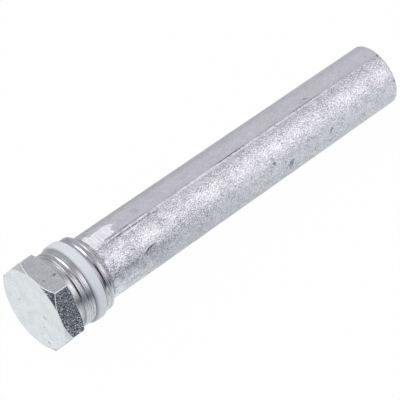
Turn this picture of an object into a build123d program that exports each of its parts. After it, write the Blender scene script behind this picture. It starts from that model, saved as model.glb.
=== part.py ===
"""Sacrificial anode on a hexagon-headed pipe plug, lying on one flat of its head.

Millimetres. The origin is the centre of the head's front face. +X runs along the axis, from the
head to the tip of the rod, and +Z is up, square to two flats of the hexagon.
"""

import math
import os

from build123d import *

# hexagon head
across_flats = 36.0
head_height = 9.2
front_chamfer_width = 2.65  # taken off each corner, measured along the radius
front_chamfer_angle = 40.0  # from the face
back_chamfer_width = 1.9
back_chamfer_angle = 30.0

# shank with a one inch parallel pipe thread, held here as its crest cylinder
thread_diameter = 33.249
neck_length = 3.7
neck_undercut = 1.6  # depth of the neck below the thread crests
neck_step_chamfer = 0.2
rear_thread_length = 5.15  # from the neck to the seal groove
front_thread_length = 5.05  # from the seal groove to the shoulder
shoulder_chamfer = 0.8

# seal groove and its ring
groove_width = 4.9
groove_depth = 2.1
seal_clearance = 0.05  # on each side of the ring and under it
seal_proud = 0.95  # height of the ring over the thread crests
seal_edge_chamfer = 0.5

# cast rod
rod_length = 158.0
rod_root_diameter = 28.6
rod_tip_diameter = 27.1
rod_root_chamfer = 0.4
rod_tip_round = 0.9

# mould seams: two low ridges on opposite sides of the casting
seam_angle = 97.0  # of the first one about the axis, from +Y towards +Z
seam_height = 0.25
seam_foot_width = 1.2
seam_crest_width = 0.5
seam_root = 0.4  # how deep a ridge is rooted in the casting
seam_fade = 8.0  # length over which a ridge rises out of the casting at each end

# steel stud that holds the rod on the plug
stud_diameter = 8.0
stud_in_plug = 14.0
stud_in_rod = 40.0
stud_chamfer = 0.8
stud_clearance = 0.05  # around the stud
bore_spare_depth = 0.5  # past each end of the stud
bore_countersink = 0.6

# places along the axis
neck_end = head_height + neck_length
groove_start = neck_end + rear_thread_length
groove_end = groove_start + groove_width
shoulder = groove_end + front_thread_length
rod_end = shoulder + rod_length
stud_start = shoulder - stud_in_plug
stud_end = shoulder + stud_in_rod

# radii about the axis
corner_radius = across_flats / 2 / math.cos(math.pi / 6)
front_radius = corner_radius - front_chamfer_width
back_radius = corner_radius - back_chamfer_width
thread_radius = thread_diameter / 2
neck_radius = thread_radius - neck_undercut
groove_radius = thread_radius - groove_depth
root_radius = rod_root_diameter / 2
tip_radius = rod_tip_diameter / 2
bore_radius = stud_diameter / 2 + stud_clearance

# depths along the axis of the cones that take the corners off the head
front_chamfer_depth = front_chamfer_width * math.tan(math.radians(front_chamfer_angle))
back_chamfer_depth = back_chamfer_width * math.tan(math.radians(back_chamfer_angle))


def blind_hole(mouth, floor):
    """Half section of a blind hole along the axis: countersunk mouth, straight wall, flat floor."""
    inwards = math.copysign(bore_countersink, floor - mouth)
    with BuildSketch(Plane.XZ) as section:
        with BuildLine():
            Polyline(
                (mouth, 0),
                (mouth, bore_radius + bore_countersink),
                (mouth + inwards, bore_radius),
                (floor, bore_radius),
                (floor, 0),
                close=True,
            )
        make_face()
    return section.sketch


def casting_radius(x):
    """Radius of the tapered casting at a place along the axis."""
    return root_radius + (tip_radius - root_radius) * (x - shoulder) / rod_length


def seam_section(x, height, angle):
    """Cross section of a seam ridge at x: a low trapezium whose crest stands height over the casting."""
    turn = math.radians(angle)
    across_seam = (0, math.sin(turn), -math.cos(turn))
    foot = casting_radius(x) - seam_root
    crest = casting_radius(x) + height
    with BuildSketch(Plane(origin=(x, 0, 0), x_dir=across_seam, z_dir=(1, 0, 0))) as section:
        with BuildLine():
            Polyline(
                (-seam_foot_width / 2, foot),
                (seam_foot_width / 2, foot),
                (seam_crest_width / 2, crest),
                (-seam_crest_width / 2, crest),
                close=True,
            )
        make_face()
    return section.sketch


# --- plug: hexagon head, neck, threaded shank, seal groove and the blind hole for the stud ---
with BuildPart() as plug:
    with BuildSketch(Plane.YZ):
        RegularPolygon(radius=across_flats / 2, side_count=6, major_radius=False)
    extrude(amount=head_height)

    # cones take the corners off both faces of the head, and leave curved edges on its flats
    with BuildSketch(Plane.XZ):
        with BuildLine():
            Polyline(
                (0, 0),
                (0, front_radius),
                (front_chamfer_depth, corner_radius),
                (head_height - back_chamfer_depth, corner_radius),
                (head_height, back_radius),
                (head_height, 0),
                close=True,
            )
        make_face()
    revolve(axis=Axis.X, mode=Mode.INTERSECT)

    # the shank is turned to one half section
    with BuildSketch(Plane.XZ):
        with BuildLine():
            Polyline(
                (head_height, 0),
                (head_height, neck_radius),
                (neck_end, neck_radius),
                (neck_end, thread_radius - neck_step_chamfer),
                (neck_end + neck_step_chamfer, thread_radius),
                (groove_start, thread_radius),
                (groove_start, groove_radius),
                (groove_end, groove_radius),
                (groove_end, thread_radius),
                (shoulder - shoulder_chamfer, thread_radius),
                (shoulder, thread_radius - shoulder_chamfer),
                (shoulder, 0),
                close=True,
            )
        make_face()
    revolve(axis=Axis.X)

    revolve(blind_hole(shoulder, stud_start - bore_spare_depth), axis=Axis.X, mode=Mode.SUBTRACT)
plug.part.label = "plug"

# --- seal ring: fills the groove and stands proud of the thread, with its outer edges broken ---
with BuildPart() as seal_ring:
    with BuildSketch(Plane.XZ):
        with BuildLine():
            Polyline(
                (groove_start + seal_clearance, groove_radius + seal_clearance),
                (groove_start + seal_clearance, thread_radius + seal_proud),
                (groove_end - seal_clearance, thread_radius + seal_proud),
                (groove_end - seal_clearance, groove_radius + seal_clearance),
                close=True,
            )
        make_face()
    revolve(axis=Axis.X)
    ring_edges = seal_ring.edges().filter_by(GeomType.CIRCLE).group_by(SortBy.RADIUS)
    chamfer(ring_edges[-1], length=seal_edge_chamfer)
seal_ring.part.label = "seal_ring"

# --- anode rod: a tapered casting, seated on the plug's shoulder, with a seam down each side ---
with BuildPart() as anode_rod:
    with BuildSketch(Plane.XZ):
        with BuildLine():
            Polyline(
                (shoulder, 0),
                (shoulder, root_radius),
                (rod_end, tip_radius),
                (rod_end, 0),
                close=True,
            )
        make_face()
    revolve(axis=Axis.X)
    chamfer(anode_rod.edges().group_by(Axis.X)[0], length=rod_root_chamfer)
    fillet(anode_rod.edges().group_by(Axis.X)[-1], radius=rod_tip_round)

    # both seams lie in the parting plane of the mould, half a turn apart
    for angle in (seam_angle, seam_angle + 180):
        first = shoulder + rod_root_chamfer
        last = rod_end - rod_tip_round
        sections = [
            seam_section(first, -seam_root / 2, angle),
            seam_section(first + seam_fade, seam_height, angle),
            seam_section(last - seam_fade, seam_height, angle),
            seam_section(last, -seam_root / 2, angle),
        ]
        loft(sections, ruled=True)

    revolve(blind_hole(shoulder, stud_end + bore_spare_depth), axis=Axis.X, mode=Mode.SUBTRACT)
anode_rod.part.label = "anode_rod"

# --- core stud: steel, screwed into the plug and cast into the rod ---
with BuildPart() as core_stud:
    with BuildSketch(Plane.YZ.offset(stud_start)):
        Circle(radius=stud_diameter / 2)
    extrude(amount=stud_in_plug + stud_in_rod)
    chamfer(core_stud.edges().filter_by(GeomType.CIRCLE), length=stud_chamfer)
core_stud.part.label = "core_stud"

os.makedirs("parts", exist_ok=True)
for piece in (plug, seal_ring, anode_rod, core_stud):
    export_step(piece.part, f"parts/{piece.part.label}.step")
    print(piece.part.label, "volume", round(piece.part.volume, 1), "mm3")
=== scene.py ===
"""A sacrificial anode on a hexagon-headed pipe plug: the dressed pieces, their stage, lamps and camera.

Metres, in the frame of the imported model. The origin is the centre of the head's front face, +X runs along
the axis to the tip of the rod, and +Z is up, square to two flats of the head. Angles about the axis are in
degrees where they are sizes and in radians inside the maths, and they run from +Y towards +Z.
"""

import logging
import math
from dataclasses import dataclass, field
from enum import Enum

import bpy
import numpy as np
from mathutils import Matrix, Vector


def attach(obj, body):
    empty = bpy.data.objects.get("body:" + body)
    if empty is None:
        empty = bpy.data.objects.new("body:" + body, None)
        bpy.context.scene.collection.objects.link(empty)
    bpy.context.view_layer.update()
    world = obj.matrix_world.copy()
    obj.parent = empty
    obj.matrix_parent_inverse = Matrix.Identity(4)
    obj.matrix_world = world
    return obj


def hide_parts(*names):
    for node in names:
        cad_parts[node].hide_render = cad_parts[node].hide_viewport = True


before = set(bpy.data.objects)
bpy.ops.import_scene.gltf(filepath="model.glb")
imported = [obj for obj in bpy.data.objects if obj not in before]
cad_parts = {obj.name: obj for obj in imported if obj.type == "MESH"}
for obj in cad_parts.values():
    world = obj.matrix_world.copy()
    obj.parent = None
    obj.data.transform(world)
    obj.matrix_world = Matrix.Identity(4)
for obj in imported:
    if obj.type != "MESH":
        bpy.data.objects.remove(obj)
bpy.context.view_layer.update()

LOG = logging.getLogger("anode")

MM = 0.001  # metres
FULL_TURN = 2 * math.pi
SECTOR = math.pi / 3  # of the hexagon
CORNER_ROWS = 6  # of a half section, for each corner that is softened
WHITE = (1, 1, 1, 1)
NOISE = (0.3, 0.7)  # values that noise mostly lies between

HEAD_HEIGHT = 9.2 * MM
CREST_RADIUS = 16.6245 * MM  # of the thread
BORE_RADIUS = 4.05 * MM  # of the stud's two blind holes
BORE_COUNTERSINK = 0.6 * MM
SWELL_RADIUS = 14 * MM  # at which the waves of an uneven round skin are measured

Socket = bpy.types.NodeSocket
Value = float | tuple[float, ...] | Socket


class Slot(Enum):
    """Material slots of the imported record."""

    ZINC = "zinc_plated_steel"
    PTFE = "white_ptfe"
    CAST = "cast_anode_metal"


class Layer(Enum):
    """Numbers that the casting's mesh stores at each vertex."""

    DARK = "dark_mark"
    BRIGHT = "bright_mark"
    GRAIN = "coarse_grain"
    CLOUD = "cloudiness"


# ---------------------------------------------------------------- surfaces


def spread_angles(stretches: list[tuple[float, float, float]]) -> np.ndarray:
    """Angles round the axis, at a step of their own on each stretch.

    Args:
        stretches: First angle, last angle and step of each, in degrees. The last angle is left out, because
            it begins the next stretch, and together they make a full turn.

    Returns:
        The angles in radians, in rising order.
    """
    rows = [
        np.linspace(first, last, round((last - first) / step), endpoint=False)
        for first, last, step in stretches
    ]
    return np.radians(np.concatenate(rows))


def soften(corners: np.ndarray, cut: float) -> np.ndarray:
    """A half section with its inner corners rounded.

    Each corner P gives way to the quadratic curve (1-t)^2 A + 2t(1-t) P + t^2 B, where A and B lie on the two
    edges at P, `cut` away from it or 0.3 of the edge if that is less. One more point on each edge, half a cut
    beyond A and B, keeps the shading of the edge straight.

    Args:
        corners: Array (corner, column, 2) of x and radius.
        cut: How far from a corner its curve begins, in metres.

    Returns:
        Array (row, column, 2): the first corner, CORNER_ROWS rows per inner corner, and the last corner.
    """
    here, before, after = corners[1:-1], corners[:-2] - corners[1:-1], corners[2:] - corners[1:-1]
    span_before = np.linalg.norm(before, axis=-1, keepdims=True)
    span_after = np.linalg.norm(after, axis=-1, keepdims=True)
    share_before = np.minimum(cut / np.maximum(span_before, 1e-9), 0.3)
    share_after = np.minimum(cut / np.maximum(span_after, 1e-9), 0.3)
    start, end = here + before * share_before, here + after * share_after
    t = np.array([0, 1 / 3, 2 / 3, 1]).reshape(1, 4, 1, 1)
    curve = (1 - t) ** 2 * start[:, None] + 2 * t * (1 - t) * here[:, None] + t**2 * end[:, None]
    lead = (here + before * share_before * 1.5)[:, None]
    tail = (here + after * share_after * 1.5)[:, None]
    rows = np.concatenate([lead, curve, tail], axis=1)
    rows = rows.reshape(-1, *corners.shape[1:])
    return np.concatenate([corners[:1], rows, corners[-1:]])


def row(x: float | np.ndarray, radius: float | np.ndarray, angle: np.ndarray) -> np.ndarray:
    """One ring of a half section: array (1, column, 2) of x and radius over all angles."""
    return np.stack([np.broadcast_to(x, angle.shape), np.broadcast_to(radius, angle.shape)], axis=-1)[None]


def between(first: np.ndarray, last: np.ndarray, count: int) -> np.ndarray:
    """Rows at even steps from one ring to another, both ends left out: first + t (last - first)."""
    t = np.linspace(0, 1, count + 2)[1:-1].reshape(-1, 1, 1)
    return first + t * (last - first)


def away_from(angle: np.ndarray, side: float) -> np.ndarray:
    """Angle from a side, which is given in degrees: radians, from minus half a turn to half a turn."""
    return (angle - math.radians(side) + math.pi) % FULL_TURN - math.pi


def turned(section: np.ndarray, angle: np.ndarray) -> np.ndarray:
    """Points (x, r cos a, r sin a) of a half section turned about the X axis: array (row, column, 3)."""
    x, radius = section[..., 0], section[..., 1]
    return np.stack([x, radius * np.cos(angle), radius * np.sin(angle)], axis=-1)


def placed(name: str, data: bpy.types.ID) -> bpy.types.Object:
    """Makes an object and links it to the scene.

    Args:
        name: Name of the object.
        data: Its mesh, lamp or camera.

    Returns:
        The new object.
    """
    made = bpy.data.objects.new(name, data)
    bpy.context.scene.collection.objects.link(made)
    return made


def skin(name: str, section: np.ndarray, angle: np.ndarray) -> bpy.types.Object:
    """Turns a half section about the X axis into one closed, outward facing mesh.

    The point of row i and column j is (x, r cos a, r sin a), where x and r are the section's and a is the
    column's angle. Quads join neighbouring rows and columns, the last column joins the first, and the first
    and last rows, whose radius is 0, are one vertex each with a fan of triangles.

    Args:
        name: Name of the object and its mesh.
        section: Array (row, column, 2) of x and radius, from one pole to the other.
        angle: Angle of each column, in radians.

    Returns:
        The new object, linked to the scene.
    """
    points = turned(section, angle)
    rings, columns = points.shape[0] - 2, points.shape[1]
    vertices = np.vstack([points[0, :1], points[1:-1].reshape(-1, 3), points[-1, :1]])

    column = np.arange(columns)
    beside = np.roll(column, -1)
    ring = 1 + columns * np.arange(rings - 1)[:, None]
    quads = np.stack(
        [ring + column, ring + beside, ring + columns + beside, ring + columns + column], axis=-1
    ).reshape(-1, 4)
    last_ring, last_pole = 1 + columns * (rings - 1), len(vertices) - 1
    first_fan = np.stack([np.zeros_like(column), 1 + beside, 1 + column], axis=-1)
    last_fan = np.stack([np.full_like(column, last_pole), last_ring + column, last_ring + beside], axis=-1)

    loops = np.concatenate([first_fan.ravel(), quads.ravel(), last_fan.ravel()])
    sizes = np.concatenate([np.full(columns, 3), np.full(len(quads), 4), np.full(columns, 3)])
    starts = np.concatenate([[0], np.cumsum(sizes)[:-1]])

    mesh = bpy.data.meshes.new(name)
    mesh.vertices.add(len(vertices))
    mesh.vertices.foreach_set("co", vertices.astype(np.float32).ravel())
    mesh.loops.add(len(loops))
    mesh.loops.foreach_set("vertex_index", loops.astype(np.int32))
    mesh.polygons.add(len(sizes))
    mesh.polygons.foreach_set("loop_start", starts.astype(np.int32))
    mesh.polygons.foreach_set("use_smooth", np.ones(len(sizes), dtype=bool))
    mesh.update(calc_edges=True)
    mesh.validate()
    return placed(name, mesh)


def closed_ring(name: str, section: np.ndarray, angle: np.ndarray) -> bpy.types.Object:
    """Turns a half section whose ends meet at the same radius into a closed ring, facing outwards.

    The point of row i and column j is (x, r cos a, r sin a), and both rows and columns wrap round.

    Args:
        name: Name of the object and its mesh.
        section: Array (row, column, 2) of x and radius, from one side over the outside to the other side.
        angle: Angle of each column, in radians.

    Returns:
        The new object, linked to the scene.
    """
    points = turned(section, angle)
    rows, columns = points.shape[:2]
    column = np.arange(columns)
    beside = np.roll(column, -1)
    first = np.arange(rows)[:, None] * columns
    after = np.roll(first, -1, axis=0)
    quads = np.stack([first + column, first + beside, after + beside, after + column], axis=-1)
    mesh = bpy.data.meshes.new(name)
    mesh.from_pydata(points.reshape(-1, 3), [], quads.reshape(-1, 4))
    mesh.shade_smooth()
    mesh.validate()
    return placed(name, mesh)


def store(piece: bpy.types.Object, name: str, values: np.ndarray) -> None:
    """Stores one number per vertex in the mesh under a name."""
    layer = piece.data.attributes.new(name, "FLOAT", "POINT")
    layer.data.foreach_set("value", values.astype(np.float32))


def paint(piece: bpy.types.Object, name: str, values: np.ndarray) -> None:
    """Stores one number per vertex, given as (row, column); each pole takes its row's mean."""
    store(piece, name, np.concatenate([[values[0].mean()], values[1:-1].ravel(), [values[-1].mean()]]))


def swell(x: np.ndarray, angle: np.ndarray, wave: float, seed: int, count: int = 40) -> np.ndarray:
    """Smooth unevenness of a round skin, between about -1 and 1.

    The sum of cos(m a + k x + p) over some waves, divided by twice the square root of half their number. m
    is a whole number, so that the sum closes round the axis, and m and k are drawn so that no wave along
    the axis or round it is shorter than `wave`. Each cosine is worked out as cos(m a + p) cos(k x) -
    sin(m a + p) sin(k x), so that the sum takes two products of matrices.

    Args:
        x: Places along the axis, one per row.
        angle: Angles about the axis, one per column.
        wave: Shortest wave length, in metres.
        seed: Seed of the draw.
        count: Number of waves.

    Returns:
        Array (row, column).
    """
    draw = np.random.default_rng(seed)
    around = FULL_TURN * SWELL_RADIUS / wave
    turns = np.round(draw.uniform(-around, around, count))
    pull = draw.uniform(-1, 1, count) * FULL_TURN / wave
    phase = draw.uniform(0, FULL_TURN, count)
    across = np.outer(turns, angle) + phase[:, None]
    along = np.outer(x, pull)
    total = np.cos(along) @ np.cos(across) - np.sin(along) @ np.sin(across)
    return total / math.sqrt(count / 2) / 2


# ---------------------------------------------------------------- node trees


class Wiring:
    """Adds nodes to the tree of one material or world and joins them."""

    def __init__(self, tree: bpy.types.NodeTree) -> None:
        """Starts with an empty tree."""
        self.tree = tree
        tree.nodes.clear()

    def node(self, kind: str, inputs: dict[str | int, Value], **settings: object) -> bpy.types.Node:
        """Adds a node.

        Args:
            kind: Blender's name of the node type.
            inputs: Value or source socket of each input, by the input's name or number.
            **settings: The node's own properties.

        Returns:
            The new node.
        """
        made = self.tree.nodes.new(kind)
        for name, value in settings.items():
            setattr(made, name, value)
        for key, value in inputs.items():
            if isinstance(value, Socket):
                self.tree.links.new(value, made.inputs[key])
            else:
                made.inputs[key].default_value = value
        return made

    def place(self, scale: tuple[float, float, float] = (1, 1, 1)) -> Socket:
        """Object coordinates, stretched by a scale per axis."""
        source = self.node("ShaderNodeTexCoord", {}).outputs["Object"]
        return self.node("ShaderNodeMapping", {"Vector": source, "Scale": scale}).outputs["Vector"]

    def spot(self, middle: tuple[float, ...], way: tuple[float, ...], half: tuple[float, ...]) -> Socket:
        """Distance from a spot's middle, where 1 is its edge.

        Args:
            middle: Middle of the spot, in metres.
            way: Unit vector along its length.
            half: Half its length, and half its width both ways.

        Returns:
            The distance over the half size in each direction, as one number.
        """
        source = self.node("ShaderNodeTexCoord", {}).outputs["Object"]
        turn = (0, -math.asin(way[2]), math.atan2(way[1], way[0]))
        inputs = {"Vector": source, "Location": middle, "Rotation": turn, "Scale": half}
        local = self.node("ShaderNodeMapping", inputs, vector_type="TEXTURE").outputs["Vector"]
        return self.node("ShaderNodeVectorMath", {0: local}, operation="LENGTH").outputs["Value"]

    def noise(self, place: Socket, size: float, detail: float = 2, rough: float = 0.5) -> Socket:
        """Noise whose largest lumps measure about `size` metres."""
        inputs = {"Vector": place, "Scale": 1 / size, "Detail": detail, "Roughness": rough}
        return self.node("ShaderNodeTexNoise", inputs).outputs["Fac"]

    def cells(self, place: Socket, size: float) -> Socket:
        """Distance to the nearest middle of random cells about `size` metres wide, where 1 is `size`."""
        return self.node("ShaderNodeTexVoronoi", {"Vector": place, "Scale": 1 / size}).outputs["Distance"]

    def span(self, value: Socket, low: float, high: float, to_low: float, to_high: float) -> Socket:
        """Maps low..high to to_low..to_high and holds the ends."""
        inputs = {"Value": value, "From Min": low, "From Max": high, "To Min": to_low, "To Max": to_high}
        return self.node("ShaderNodeMapRange", inputs, clamp=True).outputs["Result"]

    def maths(self, operation: str, first: Value, second: Value = 0.0, third: Value = 0.0) -> Socket:
        """One arithmetic step on up to three numbers."""
        inputs = {0: first, 1: second, 2: third}
        return self.node("ShaderNodeMath", inputs, operation=operation).outputs[0]

    def product(self, first: Socket, *others: Value) -> Socket:
        """Multiplies numbers in turn.

        Args:
            first: The first number.
            *others: The numbers that follow.

        Returns:
            Their product.
        """
        for other in others:
            first = self.maths("MULTIPLY", first, other)
        return first

    def blend(self, share: Value, first: Value, second: Value) -> Socket:
        """Colour between two colours.

        Args:
            share: Share of the second colour, from 0 to 1.
            first: Colour where the share is 0.
            second: Colour where the share is 1.

        Returns:
            The colour.
        """
        colours = {"Factor": share, "A": first, "B": second}
        made = self.node("ShaderNodeMix", {}, data_type="RGBA")
        for name, value in colours.items():
            socket = next(s for s in made.inputs if s.name == name and s.enabled)
            if isinstance(value, Socket):
                self.tree.links.new(value, socket)
            else:
                socket.default_value = value
        return next(s for s in made.outputs if s.enabled)

    def shade(self, colour: Value, amount: Socket) -> Socket:
        """Colour times a number."""
        return self.node("ShaderNodeVectorMath", {0: colour, "Scale": amount}, operation="SCALE").outputs[0]

    def bump(self, height: Socket, depth: float, under: Socket | None = None) -> Socket:
        """Normal of a skin that is raised by height times depth.

        Args:
            height: How high each place lies.
            depth: What a height of 1 stands for, in metres.
            under: Normal that is raised further, if there is one.

        Returns:
            The normal.
        """
        inputs: dict[str | int, Value] = {"Height": height, "Distance": depth, "Strength": 1.0}
        if under is not None:
            inputs["Normal"] = under
        return self.node("ShaderNodeBump", inputs).outputs["Normal"]

    def attribute(self, name: str) -> Socket:
        """Number that the mesh stores at each vertex under a name."""
        return self.node("ShaderNodeAttribute", {}, attribute_name=name).outputs["Fac"]

    def surface(self, colour: Socket, rough: Socket, normal: Socket, metal: Value = 0.0) -> None:
        """Ends the tree with the skin of a metal, or of a plain material where metal is 0."""
        inputs = {"Base Color": colour, "Metallic": metal, "Roughness": rough, "Normal": normal}
        self.finish(self.node("ShaderNodeBsdfPrincipled", inputs).outputs["BSDF"])

    def finish(self, shader: Socket, output: str = "ShaderNodeOutputMaterial") -> None:
        """Joins the shader to the tree's output."""
        self.node(output, {"Surface": shader})


def new_material(name: str) -> tuple[bpy.types.Material, Wiring]:
    """Makes an empty node material.

    Args:
        name: Name of the material.

    Returns:
        The material and its wiring.
    """
    material = bpy.data.materials.new(name)
    material.use_nodes = True
    return material, Wiring(material.node_tree)


# ---------------------------------------------------------------- finishes


@dataclass(frozen=True)
class Nick:
    """A short knock in the plate of the head, in millimetres."""

    middle: tuple[float, float, float]
    way: tuple[float, float, float]  # unit vector along it
    length: float
    width: float
    strength: float = 0.6


FACE_WAY = (0, 0.88, 0.475)
CROSS_WAY = (0, 0.6, -0.8)
HEAD_NICKS = (
    Nick((0, -6.6, 1.0), FACE_WAY, 2.6, 0.9, 0.75),
    Nick((0, -8.9, -12.5), FACE_WAY, 2.4, 1.0, 0.8),
    Nick((0, 8.7, -1.5), FACE_WAY, 1.2, 1.1, 0.6),
    Nick((0, 13.7, -2.8), FACE_WAY, 1.1, 1.0, 0.5),
    Nick((0, -6.1, -5.1), (0, 0.3, 0.954), 1.3, 0.8, 0.5),
    Nick((0, -4.5, -10.8), CROSS_WAY, 1.2, 0.8, 0.5),
    Nick((0, 13.9, 8.4), FACE_WAY, 1.6, 0.9, 0.35),
    Nick((0, -4.4, 14.1), CROSS_WAY, 1.0, 0.8, 0.35),
    Nick((0, 2.2, -3.6), CROSS_WAY, 3.4, 1.2, 0.16),
    Nick((0, 4.6, 6.2), FACE_WAY, 1.0, 0.8, 0.3),
    Nick((8.1, -3.2, 18), (0.995, 0.1, 0), 2.4, 1.2, 0.85),
    Nick((3.1, -2.9, 18), (0.934, -0.358, 0), 1.7, 1.1, 0.6),
    Nick((5.9, -8.2, 16.1), (0.5, 0.433, 0.75), 1.6, 1.0, 0.3),
)


@dataclass(frozen=True)
class ZincPlate:
    """Bright zinc plate: spangled, nicked head, painted edge highlights, turned shank, painted shade in the
    thread.
    """

    colour: tuple[float, ...] = (0.79, 0.79, 0.815, 1)
    tarnish: tuple[float, ...] = (0.675, 0.68, 0.703, 1)
    speck: tuple[float, ...] = (0.25, 0.26, 0.26, 1)
    # Colour of the painted shade in the thread's roots, scratch and step corner.
    thread_shade: tuple[float, ...] = (0.07, 0.07, 0.08, 1)
    # Colour of the painted highlights on the edges, which is not metal.
    wear_and_highlight: tuple[float, ...] = (0.98, 0.98, 0.98, 1)
    thread_shade_layer: str = "painted_thread_shade"
    highlight_layer: str = "painted_edge_highlight"
    cloud: float = 4.5 * MM
    spangle: float = 0.70 * MM
    spangle_depth: float = 0.172 * MM
    turning: float = 0.75 * MM
    turning_depth: float = 0.04 * MM
    dot_spacing: float = 4.6 * MM
    dot_depth: float = 0.05 * MM
    grain_shade: tuple[float, float] = (0.90, 1.04)  # of the colour, in the spangle's low and high places
    turning_shade: tuple[float, float] = (1.02, 0.80)  # of the colour, between the tool's lines and on them
    dot_edge: tuple[float, float] = (0.08, 0.14)  # of the dots' spacing: full, and ends
    dot_share: float = 0.16
    shank_roughness: float = 0.17
    head_roughness: float = 0.13
    dot_roughness: float = 0.3  # on top of the head's
    matt_roughness: float = 0.17  # on top of the shank's
    border: float = 0.1 * MM  # half the width over which the head's finish gives way to the shank's
    matt_crest: tuple[float, float] = (0.15 * MM, 0.03 * MM)  # depths under the crest: begins, and is full
    matt_neck: tuple[float, float] = (0.9 * MM, 0.7 * MM)  # depths under the crest: is full, and ends
    nicks: tuple[Nick, ...] = HEAD_NICKS

    def knocked(self, w: Wiring) -> Value:
        """Share of nicks at a place: each is full within 0.6 of its size and ends at its edge.

        Args:
            w: Wiring of the plate.

        Returns:
            The share.
        """
        total: Value = 0.0
        for nick in self.nicks:
            middle = tuple(place * MM for place in nick.middle)
            half_length, half_width = nick.length * MM / 2, nick.width * MM / 2
            away = w.spot(middle, nick.way, (half_length, half_width, half_width))
            total = w.maths("MAXIMUM", total, w.span(away, 0.6, 1.0, nick.strength, 0))
        return total

    def material(self) -> bpy.types.Material:
        """Makes the node material.

        Returns:
            The material of the plate.
        """
        material, w = new_material("zinc_plate")
        place = w.place()
        along = w.node("ShaderNodeSeparateXYZ", {"Vector": place}).outputs["X"]
        across = w.node("ShaderNodeVectorMath", {0: w.place((0, 1, 1))}, operation="LENGTH").outputs["Value"]
        head = w.span(along, HEAD_HEIGHT - self.border, HEAD_HEIGHT + self.border, 1, 0)
        shank = w.maths("SUBTRACT", 1.0, head)
        crest = w.span(across, *(CREST_RADIUS - depth for depth in self.matt_crest), 0, 1)
        neck = w.span(across, *(CREST_RADIUS - depth for depth in self.matt_neck), 1, 0)
        matt = w.product(w.maths("MAXIMUM", crest, neck), shank)
        cloud = w.noise(place, self.cloud, 4, 0.6)
        grain = w.noise(place, self.spangle, 1, 0.6)
        lines = w.noise(w.place((1, 0.02, 0.02)), self.turning, 3, 0.65)
        dots = w.span(w.cells(place, self.dot_spacing), *self.dot_edge, self.dot_share, 0)
        dots = w.maths("MAXIMUM", w.product(dots, head), self.knocked(w))
        lines = w.product(lines, shank)
        wear_and_highlight = w.attribute(self.highlight_layer)

        colour = w.blend(w.span(cloud, 0.35, 0.7, 0, 1), self.colour, self.tarnish)
        colour = w.shade(colour, w.span(grain, *NOISE, *self.grain_shade))
        colour = w.shade(colour, w.span(lines, 0.35, 0.62, *self.turning_shade))
        colour = w.blend(dots, colour, self.speck)
        # Painted shade in the thread's roots, scratch and step corner, stored on the mesh.
        colour = w.blend(w.attribute(self.thread_shade_layer), colour, self.thread_shade)
        # Painted highlights on the head's edges and ridges and on the step's edge, white and not metal.
        colour = w.blend(wear_and_highlight, colour, self.wear_and_highlight)
        rough = w.span(head, 0, 1, self.shank_roughness, self.head_roughness)
        rough = w.maths("ADD", rough, w.product(dots, self.dot_roughness))
        rough = w.maths("ADD", rough, w.product(matt, self.matt_roughness))
        normal = w.bump(lines, self.turning_depth)
        normal = w.bump(w.product(grain, head), self.spangle_depth, normal)
        normal = w.bump(dots, -self.dot_depth, normal)
        w.surface(colour, rough, normal, w.maths("SUBTRACT", 1.0, wear_and_highlight))
        return material


@dataclass(frozen=True)
class WhitePlastic:
    """Dull white ring material with faint handling marks, and painted shade along the edge towards the head.
    """

    colour: tuple[float, ...] = (0.83, 0.855, 0.885, 1)
    shade: tuple[float, ...] = (0.785, 0.81, 0.84, 1)
    # Colour of the painted shade along the ring's edges.
    edge_shade: tuple[float, ...] = (0.30, 0.31, 0.34, 1)
    edge_shade_layer: str = "painted_edge_shade"
    cloud: float = 3 * MM
    scuff: float = 0.5 * MM
    scuff_depth: float = 0.015 * MM
    roughness: tuple[float, float] = (0.42, 0.58)

    def material(self) -> bpy.types.Material:
        """Makes the node material.

        Returns:
            The material of the ring.
        """
        material, w = new_material("white_plastic")
        place = w.place()
        cloud = w.noise(place, self.cloud, 3)
        scuff = w.noise(w.place((1, 0.3, 0.3)), self.scuff, 3, 0.6)
        colour = w.blend(w.span(cloud, 0.4, 0.75, 0, 1), self.colour, self.shade)
        # Painted shade along the edges, darker towards the head.
        colour = w.blend(w.attribute(self.edge_shade_layer), colour, self.edge_shade)
        rough = w.span(scuff, *NOISE, *self.roughness)
        w.surface(colour, rough, w.bump(scuff, self.scuff_depth))
        return material


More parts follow.
